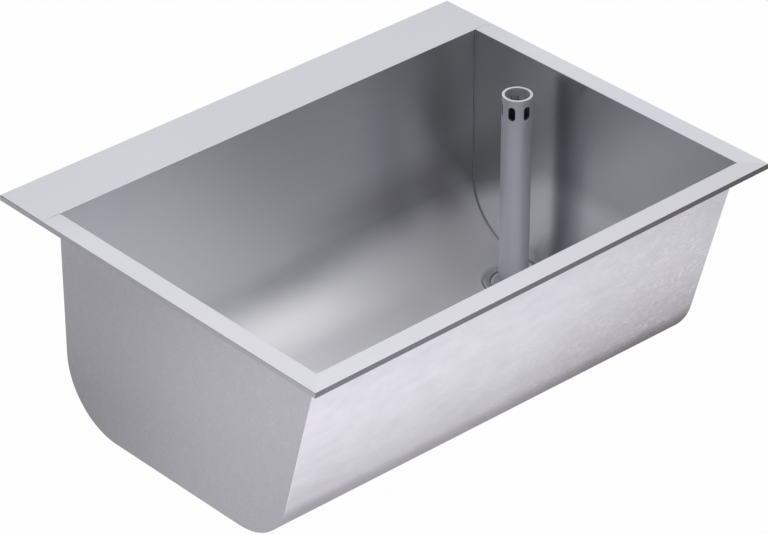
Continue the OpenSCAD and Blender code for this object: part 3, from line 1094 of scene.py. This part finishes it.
# The bowl's inside has painted shade on the back bend, and painted light on its bottom, round the waste and in the
# dish.
bowl_steel = brushed_metal(
    "brushed_bowl", (0.74, 0.75, 0.755), (0.67, 0.675, 0.69), LILAC, (0.30, 0.40), ALONG_X, depth=0.000005,
    shades=[
        (bend_painted_shade, (0.52, 0.525, 0.54), 0.0), (bowl_bottom_painted_light, (0.85, 0.85, 0.88), 0.10),
        (painted_light_round_waste, (0.93, 0.93, 0.96), 0.12), (dish_painted_light, (0.93, 0.93, 0.96), 0.20),
    ],
)
# More painted light: the floor is made matt, so that its pale colour shows.
painted_light_by_matt(bowl_steel, floor_matt_painted_light, 1.0)
# The end plates' inside is the bowl's steel painted dark as painted shade, with more painted shade towards the back
# corner and painted light on the foot.
plate_steel_painted_light_and_shade = brushed_metal(
    "brushed_plates_painted_light_and_shade", (0.415, 0.425, 0.425), (0.39, 0.40, 0.40), BLUE_GREY, (0.26, 0.27), ALONG_Y, depth=0.0,
    shades=[(corner_painted_shade, (0.34, 0.345, 0.355), 0.0), (plate_foot_painted_light, (0.69, 0.69, 0.72), 0.0)],
)
stretch_sheen(bowl_steel, 0.7)
stretch_sheen(plate_steel_painted_light_and_shade, 0.7)
outer_steel = frosted_metal(
    "frosted_outside", (0.86, 0.84, 0.89), (0.50, 0.48, 0.53), (0.68, 0.67, 0.75), (0.28, 0.40),
    ROLLED_GRAIN, 0.0003, grainy=rolled_end,
)
outer_plates = frosted_metal(
    "frosted_plates", (0.74, 0.73, 0.77), (0.62, 0.60, 0.65), (0.66, 0.66, 0.75), (0.28, 0.40),
    EVEN_GRAIN, 0.0001,
)
side_edge = frosted_metal("folded_edge_sides", (0.65, 0.64, 0.68), (0.57, 0.56, 0.60), LILAC, (0.34, 0.46))
# The front fold is painted much darker than the side folds, as painted shade, and darker still towards its right
# end.
front_edge_painted_shade = frosted_metal(
    "folded_edge_front_painted_shade", (0.37, 0.37, 0.395), (0.31, 0.31, 0.335), LILAC_DARK, (0.34, 0.46),
    shades=[(right_end_painted_shade, (0.21, 0.21, 0.23), 0.0)],
)
weld_steel = frosted_metal(
    "ground_weld", (0.28, 0.28, 0.31), (0.20, 0.20, 0.23), LILAC_DARK, (0.40, 0.55), FINE_GRAIN, 0.00004,
)
mill_steel = frosted_metal(
    "mill_finish", (0.60, 0.60, 0.62), (0.50, 0.50, 0.52), LILAC, (0.36, 0.5), EVEN_GRAIN, 0.00003,
)
# The tube gets painted shade towards its foot, and in its slots and bore.
tube_steel = brushed_metal(
    "satin_tube", (0.79, 0.785, 0.84), (0.73, 0.725, 0.78), LILAC, (0.50, 0.62), ALONG_Z, depth=0.000005,
    shades=[(tube_foot_painted_shade, (0.66, 0.655, 0.71), 0.0), (slot_shade, (0.10, 0.10, 0.115), 0.1)],
)
# The waste's recess gets painted light on its bottom, made matt, and a narrow line of painted shade round its foot.
chrome = brushed_metal(
    "turned_waste", (0.66, 0.67, 0.69), (0.60, 0.61, 0.63), LILAC, (0.44, 0.54), NO_WAY, 20.0, 0.000004,
    shades=[(recess_painted_light, (0.92, 0.92, 0.95), 0.1), (recess_shade, (0.24, 0.24, 0.27), 0.05)],
)
painted_light_by_matt(chrome, recess_painted_light, 0.6)
nut_brass = frosted_metal(
    "cast_brass", (0.78, 0.60, 0.30), (0.64, 0.46, 0.20), (0.70, 0.58, 0.34), (0.28, 0.45), FINE_GRAIN, 0.00004,
)
rubber = soft_matter("soft_rubber", (0.05, 0.05, 0.055), (0.03, 0.03, 0.033), (0.55, 0.75))
pad_rubber = soft_matter("damping_pad", (0.10, 0.10, 0.105), (0.06, 0.06, 0.065), (0.65, 0.85), EVEN_GRAIN, 0.0003)
pale_plastic = soft_matter("pale_plastic", (0.68, 0.69, 0.73), (0.60, 0.61, 0.65), (0.4, 0.55), FINE_GRAIN, 0.00006)
grey_plastic = soft_matter("grey_plastic", (0.36, 0.37, 0.40), (0.30, 0.31, 0.34), (0.4, 0.55), FINE_GRAIN, 0.00006)


# ---------------------------------------------------------------- the object
for strip, finish, edge_finish in (
    (back_ledge(), rim_ledge, side_edge), (front_strip(), rim_front, front_edge_painted_shade),
    (side_strip(-1), rim_sides, side_edge), (side_strip(1), rim_sides, side_edge),
):
    dress(strip, finish)
    strip.data.materials.append(edge_finish)
    for face in strip.data.polygons:
        face.material_index = 1 if face.center.z < (RIM_H - NEAR) * MM else 0
bowl, inner_faces = bowl_sheet()
dress(bowl, bowl_steel)
bowl.data.materials.append(outer_steel)
for face in bowl.data.polygons:
    face.material_index = 0 if face.index < inner_faces else 1
for end_side in (-1, 1):
    plate = dress(end_plate(end_side), plate_steel_painted_light_and_shade)
    plate.data.materials.append(outer_plates)
    for face in plate.data.polygons:
        face.material_index = 0 if abs(face.center.x) < (OPEN_X + NEAR) * MM else 1
    dress(corner_weld(end_side), weld_steel)
dress(rim_weld(), weld_steel)
dress(spot_welds(), mill_steel)
dress(tiled_pad(), pad_rubber)
dress(waste_fitting(), chrome)

for kept, finish in (
    ("seal_strip", rubber), ("ledge_stiffener", mill_steel), ("earth_tag", mill_steel),
    ("strainer", mill_steel), ("flange_gasket", rubber), ("under_gasket", rubber),
    ("slip_washer", grey_plastic), ("lock_nut", nut_brass), ("plug_seal", rubber),
    ("standpipe_plug", pale_plastic), ("standpipe_tube", tube_steel),
):
    dress_node(kept, finish)
for kept, rounding in (
    ("ledge_stiffener", 0.4), ("earth_tag", 0.3), ("lock_nut", 0.4), ("standpipe_tube", 0.25),
):
    soften(kept, rounding)


# ---------------------------------------------------------------- floor, light and camera
FLOOR_LEVEL = TAIL_END * MM - 0.0005
FLOOR_REACH = 9.0
# Levels mirrored in metal: the floor, and the tent at its foot and overhead
MIRRORED_FLOOR = 0.64
TENT_FOOT = 0.16
TENT_TOP = 1.49
# The tent's level for what isn't mirrored
SOFT_LEVEL = 0.45
# How far the floor turns white to the camera, and to its mirrored level in metal
CAMERA_WHITE = 0.985
METAL_SHARE = 0.9
# Pools on the floor: place, widths and the light added
FLOOR_POOLS = (
    ((0.10, -0.31), (0.50, 0.05), 0.93), ((-0.25, -0.29), (0.15, 0.04), 0.20),
    ((0.10, -0.13), (0.45, 0.06), -0.14), ((0.35, -0.12), (0.15, 0.08), -0.30),
    ((-0.62, -0.02), (0.20, 0.20), 0.12), ((-0.40, 0.25), (0.10, 0.15), -0.47),
    ((-0.35, -0.40), (0.20, 0.10), 0.22), ((0.75, -0.45), (0.20, 0.20), -0.23),
    ((-0.65, 0.52), (0.15, 0.12), -0.20), ((-0.50, 0.20), (0.12, 0.12), 0.28),
)
# Patches of the tent: direction, width and the light added
TENT_PATCHES = (
    ((0.70, -0.40, 0.60), 0.55, -0.08), ((0.55, 0.60, 0.55), 0.35, 0.52), ((0.62, -0.50, 0.60), 0.20, 0.15),
    ((0.25, -0.70, 0.65), 0.25, 0.19), ((-0.62, 0.18, 0.76), 0.12, -0.12), ((-0.30, 0.75, 0.55), 0.30, -0.27),
    ((0.60, 0.40, 0.70), 0.25, -0.18), ((0.0, 0.0, 1.0), 0.25, -0.45),
)


def pool(net, place, centre, widths, strength):
    """A soft pool of light round a point, with its own width along each axis."""
    share = net.vector("DIVIDE", net.vector("SUBTRACT", place, centre), widths)
    square = net.vector("DOT_PRODUCT", share, share, "Value")
    fall = net.math("EXPONENT", net.times(square, -0.5))
    return net.times(fall, strength)


def stage_floor():
    """Matt and pale. The camera sees it white, and metal mirrors its pools of light."""
    mesh = bpy.data.meshes.new("studio_floor")
    signs = ((-1, -1), (1, -1), (1, 1), (-1, 1))
    corners = [(x * FLOOR_REACH, y * FLOOR_REACH, FLOOR_LEVEL) for x, y in signs]
    mesh.from_pydata(corners, [], [(0, 1, 2, 3)])
    floor = put_in_scene("studio_floor", mesh)
    material = bpy.data.materials.new("pale_floor")
    material.use_nodes = True
    net = Net(material.node_tree)
    net.nodes.clear()
    output = net.add("ShaderNodeOutputMaterial")
    matt = net.fill(net.add("ShaderNodeBsdfDiffuse"), Color=(0.85, 0.85, 0.86, 1.0))
    path = net.add("ShaderNodeLightPath")
    place = net.place()
    level = MIRRORED_FLOOR
    for centre, widths, strength in FLOOR_POOLS:
        level = net.math("ADD", pool(net, place, (*centre, FLOOR_LEVEL), (*widths, 1.0), strength), level)
    white = net.add("ShaderNodeEmission")
    mirrored = net.fill(net.add("ShaderNodeEmission"), Strength=level)
    surface = matt.outputs[0]
    for ray, share, other in (("Is Camera Ray", CAMERA_WHITE, white), ("Is Glossy Ray", METAL_SHARE, mirrored)):
        mix = net.add("ShaderNodeMixShader")
        for socket, source in zip(mix.inputs, (net.times(path.outputs[ray], share), surface, other.outputs[0])):
            net.join(source, socket)
        surface = mix.outputs[0]
    net.join(surface, output.inputs["Surface"])
    mesh.materials.append(material)


def light_tent():
    """White to the camera. Metal mirrors a tent that is brighter overhead than at the foot."""
    world = bpy.data.worlds.new("studio")
    bpy.context.scene.world = world
    world.use_nodes = True
    net = Net(world.node_tree)
    net.nodes.clear()
    output = net.add("ShaderNodeOutputWorld")
    path = net.add("ShaderNodeLightPath")
    way = net.add("ShaderNodeTexCoord").outputs["Generated"]
    height = net.add("ShaderNodeSeparateXYZ")
    net.join(way, height.inputs[0])
    tent = ranged(net, height.outputs["Z"], TENT_FOOT, TENT_TOP)
    for centre, width, strength in TENT_PATCHES:
        tent = net.math("ADD", tent, pool(net, way, centre, (width, width, width), strength))
    extra = net.times(net.math("SUBTRACT", tent, SOFT_LEVEL), path.outputs["Is Glossy Ray"])
    level = net.math("ADD", extra, SOFT_LEVEL)
    seen = net.math("MAXIMUM", path.outputs["Is Camera Ray"], path.outputs["Is Transmission Ray"])
    background = net.add("ShaderNodeBackground")
    net.join(net.math("MAXIMUM", level, seen), background.inputs["Strength"])
    net.join(background.outputs[0], output.inputs["Surface"])


def area_light(name, place, aim, size, power):
    light = bpy.data.lights.new(name, "AREA")
    light.shape = "RECTANGLE"
    light.size, light.size_y = size
    light.energy = power
    lamp = put_in_scene(name, light)
    lamp.location = place
    lamp.rotation_euler = (Vector(place) - Vector(aim)).to_track_quat("Z", "Y").to_euler()


def photo_camera():
    """Looks down at the bowl from its front left corner, with a long lens."""
    distance = 3.6439
    data = bpy.data.cameras.new("photo_camera")
    data.lens = 166.7
    data.sensor_width = 36.0
    data.clip_end = 50.0
    camera = put_in_scene("photo_camera", data)
    target = Vector((-0.12089, -0.12772, 0.0067))
    back = Vector((-0.57016, -0.62485, 0.53336)).normalized()
    camera.location = target + back * distance
    camera.rotation_euler = back.to_track_quat("Z", "Y").to_euler()
    bpy.context.scene.camera = camera


stage_floor()
light_tent()
area_light("overhead_softbox", (0.3, -0.5, 2.4), (0.0, 0.0, -0.1), (2.4, 2.4), 8.0)
photo_camera()
bpy.context.scene.view_settings.view_transform = "Standard"
